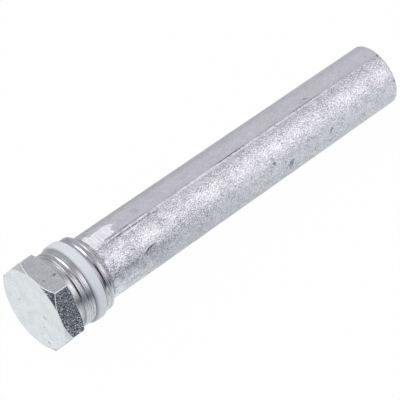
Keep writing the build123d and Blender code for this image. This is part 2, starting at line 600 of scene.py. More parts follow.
@dataclass(frozen=True)
class CastMetal:
    """Cast skin: soft flow clouds, sparkling grain, pits, white bloom, painted highlights, dark marks,
    painted shade.
    """

    colour: tuple[float, ...] = (0.88, 0.862, 0.935, 1)
    dull: tuple[float, ...] = (0.812, 0.803, 0.87, 1)
    dark: tuple[float, ...] = (0.20, 0.20, 0.22, 1)
    bloom_and_highlight: tuple[float, ...] = (0.98, 0.97, 1.0, 1)
    patch: float = 7 * MM
    flow: float = 5 * MM
    lump: float = 2.2 * MM
    lump_depth: float = 0.12 * MM
    grain: float = 0.64 * MM
    grain_depth: float = 0.34 * MM
    streak: float = 1.1 * MM
    pit_spacing: float = 1.9 * MM
    pit_edge: tuple[float, float] = (0.06, 0.12)  # of the pits' spacing: full, and ends
    pit_share: float = 0.18
    patch_grain: tuple[float, float] = (0.70, 1.10)  # coarseness in smooth and in rough patches
    sparkle: tuple[float, float] = (-0.48, 0.46)  # share of the colour that the grain takes and adds
    mottle: float = 0.11  # share of the colour that the lumps take and add
    cloudy_mottle: float = 2.2  # times as much on the cloudy stretch
    bright_ragged: float = 1.45  # how far the streaks move the edge of the bright marks
    bright_drawn_in: float = 0.72  # taken off again, so that the edge stays in place on the whole
    bright_edge: tuple[float, float] = (0.38, 0.60)  # of a bright mark's share: begins, and is full
    bright_tone: tuple[float, float] = (0.82, 1.06)  # of the bright marks' colour, in the streaks' low and high places
    dark_shade: tuple[float, float] = (1.35, 0.55)  # of dark marks, in the grain's low and high places
    roughness: tuple[float, float] = (0.27, 0.36)
    dark_roughness: float = 0.15  # on top of that, in dark marks

    def material(self) -> bpy.types.Material:
        """Makes the node material.

        Returns:
            The material of the casting.
        """
        material, w = new_material("cast_metal")
        place = w.place()
        patches = w.span(w.noise(place, self.patch, 2), 0.38, 0.62, *self.patch_grain)
        coarse = w.product(w.attribute(Layer.GRAIN.value), patches)
        flow = w.noise(w.place((0.5, 1, 1)), self.flow, 4, 0.55)
        lump = w.noise(w.place((0.8, 1, 1)), self.lump, 2, 0.5)
        grain = w.noise(place, self.grain, 1, 0.9)
        streak = w.noise(w.place((1, 0.25, 0.25)), self.streak, 2, 0.6)
        pit = w.span(w.cells(place, self.pit_spacing), *self.pit_edge, 1, 0)
        sparkle = w.product(w.span(grain, 0.25, 0.75, *self.sparkle), coarse)
        cloud = w.span(w.attribute(Layer.CLOUD.value), 0, 1, 1, self.cloudy_mottle)
        mottle = w.product(w.span(lump, *NOISE, -self.mottle, self.mottle), w.product(coarse, cloud))

        ragged = w.maths("SUBTRACT", w.attribute(Layer.BRIGHT.value), self.bright_drawn_in)
        ragged = w.maths("MULTIPLY_ADD", streak, self.bright_ragged, ragged)
        bright = w.span(ragged, *self.bright_edge, 0, 1)
        dark = w.maths("MAXIMUM", w.attribute(Layer.DARK.value), w.product(pit, self.pit_share, coarse))
        dark = w.product(dark, w.span(grain, *NOISE, *self.dark_shade))

        colour = w.blend(w.span(flow, 0.35, 0.68, 0, 1), self.colour, self.dull)
        colour = w.shade(colour, w.maths("ADD", w.maths("ADD", sparkle, mottle), 1.0))
        # The bright layer holds white bloom, and painted highlights on the seam's ridge and beside a scratch.
        bloom_and_highlight = w.shade(self.bloom_and_highlight[:3], w.span(streak, 0.4, 0.60, *self.bright_tone))
        colour = w.blend(bright, colour, bloom_and_highlight)
        colour = w.blend(w.maths("MINIMUM", dark, 1.0), colour, self.dark)
        rough = w.span(lump, *NOISE, *self.roughness)
        rough = w.maths("ADD", rough, w.product(dark, self.dark_roughness))
        normal = w.bump(w.product(lump, coarse), self.lump_depth)
        normal = w.bump(w.product(grain, coarse), self.grain_depth, normal)
        w.surface(colour, rough, normal, w.span(bright, 0, 1, 1, 0))
        return material


@dataclass(frozen=True)
class StudSteel:
    """Plain drawn steel of the hidden stud."""

    colour: tuple[float, ...] = (0.52, 0.52, 0.54, 1)
    oiled: tuple[float, ...] = (0.38, 0.37, 0.37, 1)
    cloud: float = 5 * MM
    drawing: float = 0.4 * MM
    drawing_depth: float = 0.01 * MM
    roughness: tuple[float, float] = (0.28, 0.42)

    def material(self) -> bpy.types.Material:
        """Makes the node material.

        Returns:
            The material of the stud.
        """
        material, w = new_material("stud_steel")
        drawn = w.noise(w.place((0.05, 1, 1)), self.drawing, 3, 0.6)
        cloud = w.noise(w.place(), self.cloud, 3)
        colour = w.blend(w.span(cloud, 0.35, 0.7, 0, 1), self.colour, self.oiled)
        rough = w.span(drawn, *NOISE, *self.roughness)
        w.surface(colour, rough, w.bump(drawn, self.drawing_depth), 1.0)
        return material


# ---------------------------------------------------------------- pieces


@dataclass(frozen=True)
class PipeThread:
    """Right-handed parallel pipe thread whose crests were turned flat, with a rounded root."""

    crest_radius: float = CREST_RADIUS
    pitch: float = 2.309 * MM
    height: float = 0.5 * MM
    half_flank: float = 56.0  # degrees from the plane across the axis
    root_rounding: float = 0.30 * MM
    crest_rounding: float = 0.05 * MM
    root_place: float = 14.33 * MM  # of one root along the axis, at angle 0
    scratch_place: float = 1.12 * MM  # after the root
    scratch_width: float = 0.36 * MM

    def to_turn(self, x: np.ndarray, angle: np.ndarray, place: float) -> np.ndarray:
        """Distance along the axis to the nearest turn of the helix that passes a place at angle 0."""
        turns = (x - place) / self.pitch - angle / FULL_TURN
        return np.abs(turns - np.round(turns)) * self.pitch

    def depth(self, x: np.ndarray, angle: np.ndarray) -> np.ndarray:
        """How far the skin lies under the crests.

        s is the distance along the axis to the nearest root. In the root the depth is h - rho + sqrt(rho^2 -
        s^2), and beyond it falls evenly by 1 / tan(flank) until the crest, whose edge is rounded: where the
        flank's depth d is under the rounding c, the depth is (d + c)^2 / 4c, and 0 from d = -c on.

        Args:
            x: Places along the axis, in metres.
            angle: Angles about the axis, in radians.

        Returns:
            The depth for each pair, in metres.
        """
        rho, soft, flank = self.root_rounding, self.crest_rounding, math.radians(self.half_flank)
        to_root = self.to_turn(x, angle, self.root_place)
        join = rho * math.cos(flank)
        root = self.height - rho + np.sqrt(np.maximum(rho**2 - to_root**2, 0))
        side = self.height - rho * (1 - math.sin(flank)) - (to_root - join) / math.tan(flank)
        eased = np.where(side < soft, np.maximum(side + soft, 0) ** 2 / (4 * soft), side)
        return np.where(to_root < join, root, eased)

    def scratch(self, x: np.ndarray, angle: np.ndarray) -> np.ndarray:
        """Share of the tool's fine line along the crest: 1 on it, and 0 from half its width away."""
        away = self.to_turn(x, angle, self.root_place + self.scratch_place)
        return np.clip(1 - away / (self.scratch_width / 2), 0, 1)


@dataclass
class ThreadedPlug:
    """Steel plug: hexagon head, neck, threaded shank with the seal groove, and blind hole for the stud."""

    across_flats: float = 36 * MM
    head_height: float = HEAD_HEIGHT
    front_chamfer_width: float = 2.65 * MM
    front_chamfer_angle: float = 40.0  # degrees from the face
    back_chamfer_width: float = 1.9 * MM
    back_chamfer_angle: float = 30.0  # degrees from the back face
    ridge_rounding: float = 0.3 * MM
    edge_break: float = 0.17 * MM
    before_rim: float = 0.96  # of a rim's radius, where the last row of a face stands
    neck_length: float = 3.7 * MM
    neck_undercut: float = 1.0 * MM
    neck_step_chamfer: float = 0.2 * MM
    neck_rounding: float = 0.3 * MM
    rear_thread_length: float = 5.15 * MM
    front_thread_length: float = 5.05 * MM
    groove_width: float = 4.9 * MM
    groove_depth: float = 2.1 * MM
    shoulder_chamfer: float = 0.8 * MM
    bore_radius: float = BORE_RADIUS
    bore_depth: float = 14.5 * MM
    bore_countersink: float = BORE_COUNTERSINK
    thread_run_in: float = 1.1 * MM
    thread_run_out: float = 2.5 * MM
    uncut: float = 0.3  # share of each run that stays uncut
    scratch_depth: float = 0.05 * MM
    rear_shallower: float = 0.2 * MM  # how much less deep the thread was cut between neck and ring
    # Painted highlights on the head's edges and ridges, and on the step's edge after the neck:
    rim_highlight: tuple[float, ...] = (0.35, 0.9, 0.3, 0.3)  # of the head's four edges, from the face on
    ridge_highlight: float = 0.85
    step_highlight: float = 0.95
    step_highlight_side: float = 91.0  # degrees about the axis
    step_highlight_spread: float = 14.0  # degrees
    step_highlight_width: float = 0.21 * MM
    step_highlight_depth: float = 0.45 * MM  # under the crest
    # Painted shade in the thread's roots, its scratch and the corner of its step:
    thread_shade_all_round: float = 0.04
    thread_shade_more: float = 0.41  # on top of that, on its darkest side
    thread_shade_side: float = 134.0  # degrees about the axis
    thread_shade_spread: float = 24.0  # degrees
    step_shade: float = 0.85
    step_shade_spread: float = 19.0  # degrees
    scratch_shade: float = 0.65
    row_step: float = 0.075 * MM
    ridge_reach: float = 0.9  # degrees on each side of a ridge that have fine columns
    fine_step: float = 0.15  # degrees
    coarse_step: float = 1.4  # degrees
    thread: PipeThread = field(default_factory=PipeThread)
    finish: ZincPlate = field(default_factory=ZincPlate)

    @property
    def neck_radius(self) -> float:
        """Radius of the neck behind the head."""
        return self.thread.crest_radius - self.neck_undercut

    @property
    def neck_end(self) -> float:
        """Where the neck ends and the step up to the thread stands."""
        return self.head_height + self.neck_length

    @property
    def groove_start(self) -> float:
        """Where the seal groove begins."""
        return self.neck_end + self.rear_thread_length

    @property
    def groove_end(self) -> float:
        """Where the seal groove ends."""
        return self.groove_start + self.groove_width

    @property
    def shoulder(self) -> float:
        """Where the plug ends and the casting stands."""
        return self.groove_end + self.front_thread_length

    @staticmethod
    def to_ridge(angle: np.ndarray) -> np.ndarray:
        """Angle to the nearest ridge of the hexagon, in radians."""
        return np.abs(angle / SECTOR - np.round(angle / SECTOR)) * SECTOR

    def hexagon(self, angle: np.ndarray) -> np.ndarray:
        """Radius of the hexagon, with ridges rounded.

        a is the angle to the nearest ridge. On a flat the radius is apothem / cos(30 degrees - a). Near the
        ridge it is that of a circle of radius rho whose middle lies c from the axis, where c is (apothem -
        rho) / cos(30 degrees): c cos(a) + sqrt(rho^2 - c^2 sin(a)^2).

        Args:
            angle: Angles about the axis, in radians.

        Returns:
            The radius at each angle, in metres.
        """
        apothem, rho = self.across_flats / 2, self.ridge_rounding
        away = self.to_ridge(angle)
        middle = (apothem - rho) / math.cos(SECTOR / 2)
        reach = math.atan2(rho * math.sin(SECTOR / 2), middle + rho * math.cos(SECTOR / 2))
        straight = apothem / np.cos(SECTOR / 2 - away)
        round_part = middle * np.cos(away) + np.sqrt(np.maximum(rho**2 - (middle * np.sin(away)) ** 2, 0))
        return np.where(away < reach, round_part, straight)

    def rims(self, angle: np.ndarray) -> np.ndarray:
        """The four edges of the head's half section.

        A cone takes each corner off. Round the axis its depth is (flat - start) times the tangent of the
        chamfer's angle, where flat is the hexagon's radius and start is where the cone begins.

        Args:
            angle: Angles about the axis, in radians.

        Returns:
            Array (4, column, 2): inner and outer edge of the front cone, outer and inner edge of the back.
        """
        corner = self.across_flats / 2 / math.cos(SECTOR / 2)
        flat = self.hexagon(angle)
        front_radius = corner - self.front_chamfer_width
        back_radius = corner - self.back_chamfer_width
        front_rise = (flat - front_radius) * math.tan(math.radians(self.front_chamfer_angle))
        back_rise = (flat - back_radius) * math.tan(math.radians(self.back_chamfer_angle))
        return np.concatenate(
            [
                row(0, np.minimum(front_radius, flat - self.edge_break), angle),
                row(np.maximum(front_rise, self.edge_break), flat, angle),
                row(self.head_height - np.maximum(back_rise, self.edge_break), flat, angle),
                row(self.head_height, np.minimum(back_radius, flat - self.edge_break), angle),
            ]
        )

    def head(self, angle: np.ndarray) -> np.ndarray:
        """Half section of the head, from the pole of the front face to the root of its back face.

        Args:
            angle: Angles about the axis, in radians.

        Returns:
            Array (row, column, 2) of x and radius.
        """
        edges = self.rims(angle)
        pole = row(0, 0, angle)
        face = row(0, edges[0, :, 1] * self.before_rim, angle)
        back_face = row(self.head_height, edges[3, :, 1] * self.before_rim, angle)
        corners = np.concatenate([face, edges, back_face])
        root = row(self.head_height, self.neck_radius, angle)
        rim = soften(corners, self.edge_break)
        front = 1 + 2 * CORNER_ROWS
        flat = between(rim[front - 1 : front], rim[front : front + 1], 6)
        return np.concatenate(
            [pole, between(pole, face, 7), rim[:front], flat, rim[front:], between(back_face, root, 3)]
        )

    def land(
        self, start: float, end: float, outline: np.ndarray, angle: np.ndarray, shallower: float = 0.0
    ) -> np.ndarray:
        """Threaded stretch of the shank.

        The radius is the lesser of the turned outline and the crest radius less the thread's depth, which
        fades in and out evenly beside the start and the end, and less a fine scratch along the crest.

        Args:
            start: Where the stretch begins, in metres.
            end: Where it ends, in metres.
            outline: Array (point, 2) of x and radius, the outline turned before the thread was cut.
            angle: Angles about the axis, in radians.
            shallower: How much less deep the thread is cut than its full depth, in metres.

        Returns:
            Array (row, column, 2).
        """
        x = np.linspace(start, end, round((end - start) / self.row_step) + 1)[:, None]
        uncut_radius = np.interp(x, outline[:, 0], outline[:, 1])
        runs = np.minimum((end - x) / self.thread_run_out, (x - start) / self.thread_run_in)
        fade = np.clip(runs - self.uncut, 0, 1)
        depth = np.maximum(self.thread.depth(x, angle[None, :]) - shallower, 0)
        cut = self.thread.crest_radius - fade * depth
        cut = cut - self.scratch_depth * self.thread.scratch(x, angle[None, :])
        radius = np.minimum(uncut_radius, cut)
        return np.stack([np.broadcast_to(x, radius.shape), radius], axis=-1)

    def neck(self, angle: np.ndarray) -> np.ndarray:
        """Half section of the neck, with both its corners rounded.

        Args:
            angle: Angles about the axis, in radians.

        Returns:
            Array (row, column, 2) of x and radius.
        """
        step = self.thread.crest_radius - self.neck_step_chamfer
        corners = np.concatenate(
            [
                row(self.head_height, self.neck_radius + self.neck_undercut / 2, angle),
                row(self.head_height, self.neck_radius, angle),
                row(self.neck_end, self.neck_radius, angle),
                row(self.neck_end, step, angle),
            ]
        )
        return soften(corners, self.neck_rounding)[1:-1]

    def shank(self, angle: np.ndarray) -> np.ndarray:
        """Half section of the two threaded stretches and the seal groove between them.

        Args:
            angle: Angles about the axis, in radians.

        Returns:
            Array (row, column, 2) of x and radius.
        """
        crest, broken, step = self.thread.crest_radius, self.edge_break, self.neck_step_chamfer
        rear = np.array(
            [
                (self.neck_end, crest - step),
                (self.neck_end + step, crest),
                (self.groove_start - broken, crest),
                (self.groove_start, crest - broken),
            ]
        )
        front = np.array(
            [
                (self.groove_end, crest - broken),
                (self.groove_end + broken, crest),
                (self.shoulder - self.shoulder_chamfer, crest),
                (self.shoulder, crest - self.shoulder_chamfer),
            ]
        )
        floor_radius = crest - self.groove_depth
        return np.concatenate(
            [
                self.land(self.neck_end, self.groove_start, rear, angle, self.rear_shallower),
                row(self.groove_start, floor_radius, angle),
                row(self.groove_end, floor_radius, angle),
                self.land(self.groove_end, self.shoulder, front, angle),
            ]
        )

    def bore(self, angle: np.ndarray) -> np.ndarray:
        """Half section of the blind hole, from its mouth in the shoulder to the middle of its floor.

        Args:
            angle: Angles about the axis, in radians.

        Returns:
            Array (row, column, 2) of x and radius.
        """
        bore_floor = self.shoulder - self.bore_depth
        mouth = row(self.shoulder, self.bore_radius + self.bore_countersink, angle)
        wall = row(self.shoulder - self.bore_countersink, self.bore_radius, angle)
        floor = row(bore_floor, self.bore_radius, angle)
        return np.concatenate([mouth, wall, between(wall, floor, 4), floor, row(bore_floor, 0, angle)])

    def section(self, angle: np.ndarray) -> np.ndarray:
        """Half section of the whole plug, from the middle of its face to the middle of its hole's floor.

        Args:
            angle: Angles about the axis, in radians.

        Returns:
            Array (row, column, 2) of x and radius.
        """
        shank, bore = self.shank(angle), self.bore(angle)
        end_face = between(shank[-1:], bore[:1], 3)
        return np.concatenate([self.head(angle), self.neck(angle), shank, end_face, bore])

    def wear_and_highlight(self, section: np.ndarray, angle: np.ndarray) -> np.ndarray:
        """Share of painted highlight at each point: most on the edges of the front cone and on the ridges.

        On an edge it falls evenly between 0.8 and 1.4 edge breaks away from it. On a ridge it falls in the
        same way between 1.1 and 1.7 round the axis, and ends where the cones begin. On the edge of the step
        after the neck it is full up to its width from the chamfer's middle, falls to nothing at twice that,
        and has the shape of exp(-(a / spread)^4) about its side.

        Args:
            section: Array (row, column, 2) of x and radius.
            angle: Angle of each column, in radians.

        Returns:
            Array (row, column).
        """
        edges = self.rims(angle)
        away = np.linalg.norm(section[None] - edges[:, None], axis=-1)
        near = np.clip((1.4 - away / self.edge_break) / 0.6, 0, 1)
        rim_highlight = np.max(near * np.array(self.rim_highlight).reshape(4, 1, 1), axis=0)
        around = self.to_ridge(angle) * edges[1, :, 1]
        ridge = np.clip((1.7 - around / self.edge_break) / 0.6, 0, 1)
        x, radius = section[..., 0], section[..., 1]
        on_flat = (x > edges[1, :, 0]) & (x < edges[2, :, 0])
        on_head = x <= self.head_height
        step_middle = self.neck_end + self.neck_step_chamfer / 2
        on_step = np.clip(2.0 - np.abs(x - step_middle) / self.step_highlight_width, 0, 1)
        on_step = on_step * (radius > self.thread.crest_radius - self.step_highlight_depth)
        side = np.degrees(away_from(angle, self.step_highlight_side))
        step_highlight = self.step_highlight * on_step * np.exp(-((side / self.step_highlight_spread) ** 4))
        return np.maximum(np.maximum(rim_highlight * on_head, self.ridge_highlight * ridge * on_flat), step_highlight)

    def thread_shade(self, section: np.ndarray, angle: np.ndarray) -> np.ndarray:
        """Share of painted shade at each point, in the thread's roots, its scratch and the corner of its
        step.

        It rises from 0 to its most between 0.3 and 0.8 of the thread's depth. Its most has one value all
        round the axis, and one more in the shape of exp(-(a / spread)^2) about its darkest side. The scratch
        along the crests takes some as well, and so does the step after the neck below the middle of its
        chamfer, in the same shape with a spread of its own.

        Args:
            section: Array (row, column, 2) of x and radius.
            angle: Angle of each column, in radians.

        Returns:
            Array (row, column).
        """
        x, radius = section[..., 0], section[..., 1]
        under = self.thread.crest_radius - radius
        threaded = (x > self.neck_end - self.edge_break) & (under < self.groove_depth - self.edge_break)
        deep = np.clip((under - 0.3 * self.thread.height) / (0.5 * self.thread.height), 0, 1)
        away = np.degrees(away_from(angle, self.thread_shade_side))
        on_dark_side = self.thread_shade_more * np.exp(-((away / self.thread_shade_spread) ** 2))
        in_roots = deep * (self.thread_shade_all_round + on_dark_side)
        in_scratch = self.scratch_shade * self.thread.scratch(x, angle)
        on_step = (np.abs(x - self.neck_end) < self.edge_break) & (under > self.neck_step_chamfer / 2)
        corner = self.step_shade * on_step * np.exp(-((away / self.step_shade_spread) ** 2))
        return np.maximum(threaded * np.maximum(in_roots, in_scratch), corner)

    def build(self) -> bpy.types.Object:
        """Builds and dresses the plug, in place of its CAD node.

        Returns:
            The plug.
        """
        reach, sector = self.ridge_reach, math.degrees(SECTOR)
        stretches = []
        for ridge in range(0, 360, round(sector)):
            stretches.append((ridge - reach, ridge + reach, self.fine_step))
            stretches.append((ridge + reach, ridge + sector - reach, self.coarse_step))
        angle = spread_angles(stretches)
        section = self.section(angle)
        piece = skin("threaded_plug", section, angle)
        # Painted shade in the thread.
        paint(piece, self.finish.thread_shade_layer, self.thread_shade(section, angle))
        # Painted highlights on the edges.
        paint(piece, self.finish.highlight_layer, self.wear_and_highlight(section, angle))
        piece.data.materials.append(self.finish.material())
        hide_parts("plug")
        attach(piece, "root")
        return piece


@dataclass
class SealRing:
    """White ring in the groove: flat sides, rounded outer edges and a face that is a little uneven."""

    start: float = 18.1 * MM
    end: float = 22.9 * MM
    inner_radius: float = 14.5745 * MM
    outer_radius: float = 17.5745 * MM
    edge_rounding: float = 0.6 * MM
    unevenness: float = 0.02 * MM
    uneven_wave: float = 4 * MM
    crown: float = 0.34 * MM  # how far the face falls towards the head
    edge_shade_reach: float = 1.0 * MM  # of the painted shade along the edge towards the head
    edge_shade_wider: float = 1.3 * MM  # how much further it reaches on one arc
    far_edge_shade_reach: float = 0.4 * MM
    far_edge_shade: float = 0.6
    edge_shade_least: float = 0.36
    edge_shade_more: float = 0.54  # on top of that, on its darkest side
    edge_shade_side: float = 142.0  # degrees about the axis
    edge_shade_spread: float = 28.0  # degrees
    wide_shade_arc: tuple[float, float] = (136.0, 330.0)  # degrees about the axis, where it reaches further: begins, and ends
    wide_shade_fade: tuple[float, float] = (18.0, 40.0)  # degrees over which it begins and ends
    finish: WhitePlastic = field(default_factory=WhitePlastic)

    @property
    def middle(self) -> float:
        """Middle of the ring along the axis."""
        return (self.start + self.end) / 2

    def edge_shade(self, section: np.ndarray, angle: np.ndarray) -> np.ndarray:
        """Share of painted shade at each point, along both edges.

        It is (1 - d)^2 of its most, where d is the distance from the edge towards the head over its reach,
        which is wider on one arc. Its most has one value all round, and one more in the shape of
        exp(-(a / spread)^2) about its darkest side. From the other edge it falls in the same way.

        Args:
            section: Array (row, column, 2) of x and radius.
            angle: Angle of each column, in radians.

        Returns:
            Array (row, column).
        """
        x, degrees = section[..., 0], np.degrees(angle)
        begins = np.clip((degrees - self.wide_shade_arc[0]) / self.wide_shade_fade[0], 0, 1)
        ends = np.clip((self.wide_shade_arc[1] - degrees) / self.wide_shade_fade[1], 0, 1)
        aside = (degrees - self.edge_shade_side) / self.edge_shade_spread
        most = self.edge_shade_least + self.edge_shade_more * np.exp(-(aside**2))
        away = (x - self.start) / (self.edge_shade_reach + self.edge_shade_wider * begins * ends)
        far_edge = np.clip(1 - (self.end - x) / self.far_edge_shade_reach, 0, 1)
        return np.maximum(most * np.clip(1 - away, 0, 1) ** 2, self.far_edge_shade * far_edge**2)

    def build(self) -> bpy.types.Object:
        """Builds and dresses the ring, in place of its CAD node.

        Its face falls towards the head by the crown times the cube of the distance from its middle, where the
        whole half width is 1.

        Returns:
            The ring.
        """
        angle = spread_angles([(0, 360, 1.5)])
        outer = self.outer_radius - self.unevenness
        corners = np.concatenate(
            [
                row(self.start, self.inner_radius, angle),
                row(self.start, outer, angle),
                row(self.end, outer, angle),
                row(self.end, self.inner_radius, angle),
            ]
        )
        rim = soften(corners, self.edge_rounding)
        front = 1 + CORNER_ROWS
        face = between(rim[front - 1 : front], rim[front : front + 1], 10)
        section = np.concatenate([rim[:front], face, rim[front:]])
        uneven = swell(section[:, 0, 0] - self.start, angle, self.uneven_wave, 5)
        share = np.clip((section[..., 1] - self.inner_radius) / (outer - self.inner_radius), 0, 1)
        fall = np.clip((self.middle - section[..., 0]) / (self.middle - self.start), 0, 1) ** 3
        section[..., 1] += (self.unevenness * uneven - self.crown * fall) * share
        piece = closed_ring("white_seal_ring", section, angle)
        # Painted shade along the edges.
        store(piece, self.finish.edge_shade_layer, self.edge_shade(section, angle).ravel())
        piece.data.materials.append(self.finish.material())
        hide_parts("seal_ring")
        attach(piece, "root")
        return piece


@dataclass(frozen=True)
class Mark:
    """One mark on the casting, in millimetres: an oval, turned and perhaps bent, with a soft edge."""

    x: float  # along the axis
    angle: float  # degrees about the axis
    length: float
    width: float
    turn: float = 0.0  # degrees from the axis
    strength: float = 1.0
    depth: float = 0.0  # how far it is pressed into the skin
    bend: float = 0.0  # how far its ends stand off a straight line
    layer: Layer = Layer.DARK

    def share(self, x: np.ndarray, angle: np.ndarray, radius: float) -> np.ndarray:
        """1 inside the mark and 0 outside it: 1 at u^2 + v^2 < 0.5, and 0 from 1 on.

        u and v are the distances from its middle along and across it, over half its length and half its
        width. A bent mark follows the parabola whose height over its straight line is bend times u^2.

        Args:
            x: Places along the axis, one per row.
            angle: Angles about the axis, one per column.
            radius: Radius of the skin, in metres.

        Returns:
            Array (row, column).
        """
        along = x[:, None] - self.x * MM
        around = away_from(angle[None, :], self.angle) * radius
        c, s = math.cos(math.radians(self.turn)), math.sin(math.radians(self.turn))
        u = (along * c + around * s) / (self.length * MM / 2)
        v = (around * c - along * s - self.bend * MM * np.minimum(u**2, 2)) / (self.width * MM / 2)
        return np.clip(2 - 2 * (u**2 + v**2), 0, 1)


@dataclass
class CastRod:
    """Tapered casting on the plug's shoulder, with a mould seam down each side, marks of its life, painted
    highlights and painted shade.
    """

    start: float = 28 * MM
    length: float = 158 * MM
    root_radius: float = 14.3 * MM
    tip_radius: float = 13.55 * MM
    root_chamfer: float = 0.4 * MM
    tip_round: float = 0.9 * MM
    seam_angle: float = 97.0  # degrees about the axis
    seam_height: float = 0.25 * MM
    seam_width: float = 0.8 * MM
    seam_fade: float = 8 * MM
    seam_wear: float = 0.35  # share of its height that is gone at the tip
    seam_waver: float = 0.25  # share of its height by which it wavers both ways
    seam_waves: tuple[float, float] = (23 * MM, 7 * MM)
    unevenness: float = 0.03 * MM
    uneven_wave: float = 7 * MM
    bore_radius: float = BORE_RADIUS
    bore_depth: float = 40.5 * MM
    bore_countersink: float = BORE_COUNTERSINK
    far_grain: float = 0.32  # coarseness of the mould's far half, where the near half is 1
    cloudy: float = 34 * MM  # length of the mottled stretch beside the plug
    dark_line: float = 1.25 * MM  # from the plug's shoulder to the dark line round the root
    dark_line_width: float = 0.5 * MM
    dark_line_share: float = 0.75
    row_step: float = 0.45 * MM
    finish: CastMetal = field(default_factory=CastMetal)

    @property
    def end(self) -> float:
        """Where the tip ends along the axis."""
        return self.start + self.length

    def marks(self) -> list[Mark]:
        """Marks of handling and the mould, and painted highlights, painted shade and painted shadows.

        Each line gives a mark's values in the order of its fields, and leaves out those that stay plain.

        Returns:
            The bright marks and then the dark ones.
        """
        above, below = self.seam_angle - 2.7, self.seam_angle + 3.5  # where painted shade lies beside the seam
        line = 0.5  # its width there
        bloom_and_highlight = (
            (38.0, 75.5, 13.6, 4.4),
            (35.6, 82.0, 13.0, 6.2, -8),
            (32.2, 90.5, 8.0, 6.0),
            (31.3, 78.0, 4.6, 8.0),
            (38.5, 88.0, 8.0, 3.0, 0, 0.75),
            (47.6, below + 3.6, 12.0, 0.8),
            # Painted highlights along the seam's ridge, in this line and the five below.
            (48.6, self.seam_angle, 5.4, 1.1),
            (55.4, self.seam_angle, 6.4, 1.2),
            (64.0, self.seam_angle, 4.0, 0.8),
            (88.0, self.seam_angle, 34.0, 1.2),
            (116.0, self.seam_angle, 16.0, 0.7, 0, 0.75),
            (108.0, self.seam_angle, 150.0, 0.9, 0, 0.6),
            # Painted highlight beside the scratch.
            (49.6, 143.2, 6.6, 0.7, -14.4, 0.9, 0, 0.79),
        )
        # Painted shade beside the seam.
        seam_shade = (
            (40.2, above, 10.4, line, 0, 0.65),
            (49.0, above, 26.0, line, 0, 0.6),
            (50.0, below, 24.0, line, 0, 0.6),
            (47.3, above, 3.8, 0.7),
            (55.2, above, 4.8, line, 0, 0.8),
            (36.0, below, 11.0, line, 0, 0.45),
            (42.0, below, 4.2, 0.7),
            (49.5, below, 7.8, 0.62),
            (55.2, below, 4.8, line, 0, 0.7),
            (78.0, above, 22.0, line, 0, 0.25),
            (102.4, above, 20.0, 0.55, 0, 0.95, 0.03),
            (124.0, above, 16.0, line, 0, 0.3),
            (144.2, above, 20.0, 0.6, 0, 0.6),
        )
        knocks = (
            (49.8, 146.1, 7.4, 0.95, -14.4, 1.0, 0.16, 0.79),
            (117.2, 150, 1.9, 1.3, 0, 0.75, 0.05),
            (118.9, 148, 0.8, 0.9, 0, 0.5, 0.03),
            (125.6, 171.0, 4.9, 2.8, 118, 0.66, 0.08),
            (148.4, 161, 1.1, 3.2, 30, 0.95, 0.06),
            (146.3, 87, 2.6, 0.8, 25, 0.7, 0.04),
            (66.7, 128, 0.8, 14.0, 0, 0.18),
            (30.2, 172, 1.8, 0.9, 30, 0.8, 0.06),
            (185.2, 96.4, 1.6, 1.3, 0, 0.7, 0.10),
            (185.2, 151.0, 1.4, 1.5, 0, 0.6, 0.08),
            (169.4, 148.0, 1.0, 0.8, 0, 0.6, 0.05),
            (172.8, 131.0, 0.9, 0.7, 0, 0.5, 0.04),
            (176.2, 108.0, 0.9, 0.8, 0, 0.55, 0.04),
            (178.5, 120.5, 1.1, 0.7, 20, 0.5, 0.04),
            (180.6, 84.5, 1.0, 0.8, 0, 0.5, 0.04),
        )
        shadows = (
            (37.0, 152.5, 20.0, 3.0, 0, 0.36),
            (51.0, 152.5, 7.6, 3.6, 0, 0.34),
            (42.0, 158.0, 42.0, 8.0, 0, 0.14),
            (34.0, 104.0, 9.0, 3.0, 0, 0.22),
            (43.0, 126.0, 9.0, 4.0, 35, 0.14),
            (59.5, 118.0, 9.0, 4.4, 50, 0.16),
            (55.0, 80.0, 5.0, 4.0, 60, 0.16),
        )
        bright = [Mark(*values, layer=Layer.BRIGHT) for values in bloom_and_highlight]
        return bright + [Mark(*values) for values in seam_shade + knocks + shadows]

    def columns(self) -> np.ndarray:
        """Angles of the columns, which stand closest on the near seam and wide apart on the far half.

        Returns:
            The angles in radians.
        """
        seam, far_seam, reach = self.seam_angle, self.seam_angle + 180, 6.0
        return spread_angles(
            [
                (seam - 40, seam - reach, 1.0),
                (seam - reach, seam + reach, 0.4),
                (seam + reach, seam + 92, 1.0),
                (seam + 92, far_seam - reach, 3.0),
                (far_seam - reach, far_seam + reach, 0.6),
                (far_seam + reach, seam + 320, 3.0),
            ]
        )

    def marked(self, x: np.ndarray, angle: np.ndarray) -> tuple[np.ndarray, dict[Layer, np.ndarray]]:
        """How deep the marks are pressed in, and what each layer holds.

        The dark line round the root has the shape of exp(-(d / width)^2), where d is the distance from it.

        Args:
            x: Places along the axis, one per row.
            angle: Angles about the axis, one per column.

        Returns:
            Array (row, column) of depths in metres, and one array (row, column) for each layer.
        """
        hollow = np.zeros((len(x), len(angle)))
        layers = {layer: np.zeros_like(hollow) for layer in Layer}
        near_half = away_from(angle, self.seam_angle) > 0
        layers[Layer.GRAIN] += np.where(near_half, 1, self.far_grain)
        layers[Layer.CLOUD] += np.clip((self.start + self.cloudy - x) / (self.cloudy / 2), 0, 1)[:, None]
        from_line = (x - self.start - self.dark_line) / self.dark_line_width
        layers[Layer.DARK] += self.dark_line_share * np.exp(-(from_line**2))[:, None]
        for mark in self.marks():
            share = mark.share(x, angle, self.root_radius)
            hollow += mark.depth * MM * share
            layers[mark.layer] = np.maximum(layers[mark.layer], mark.strength * share)
        return hollow, layers

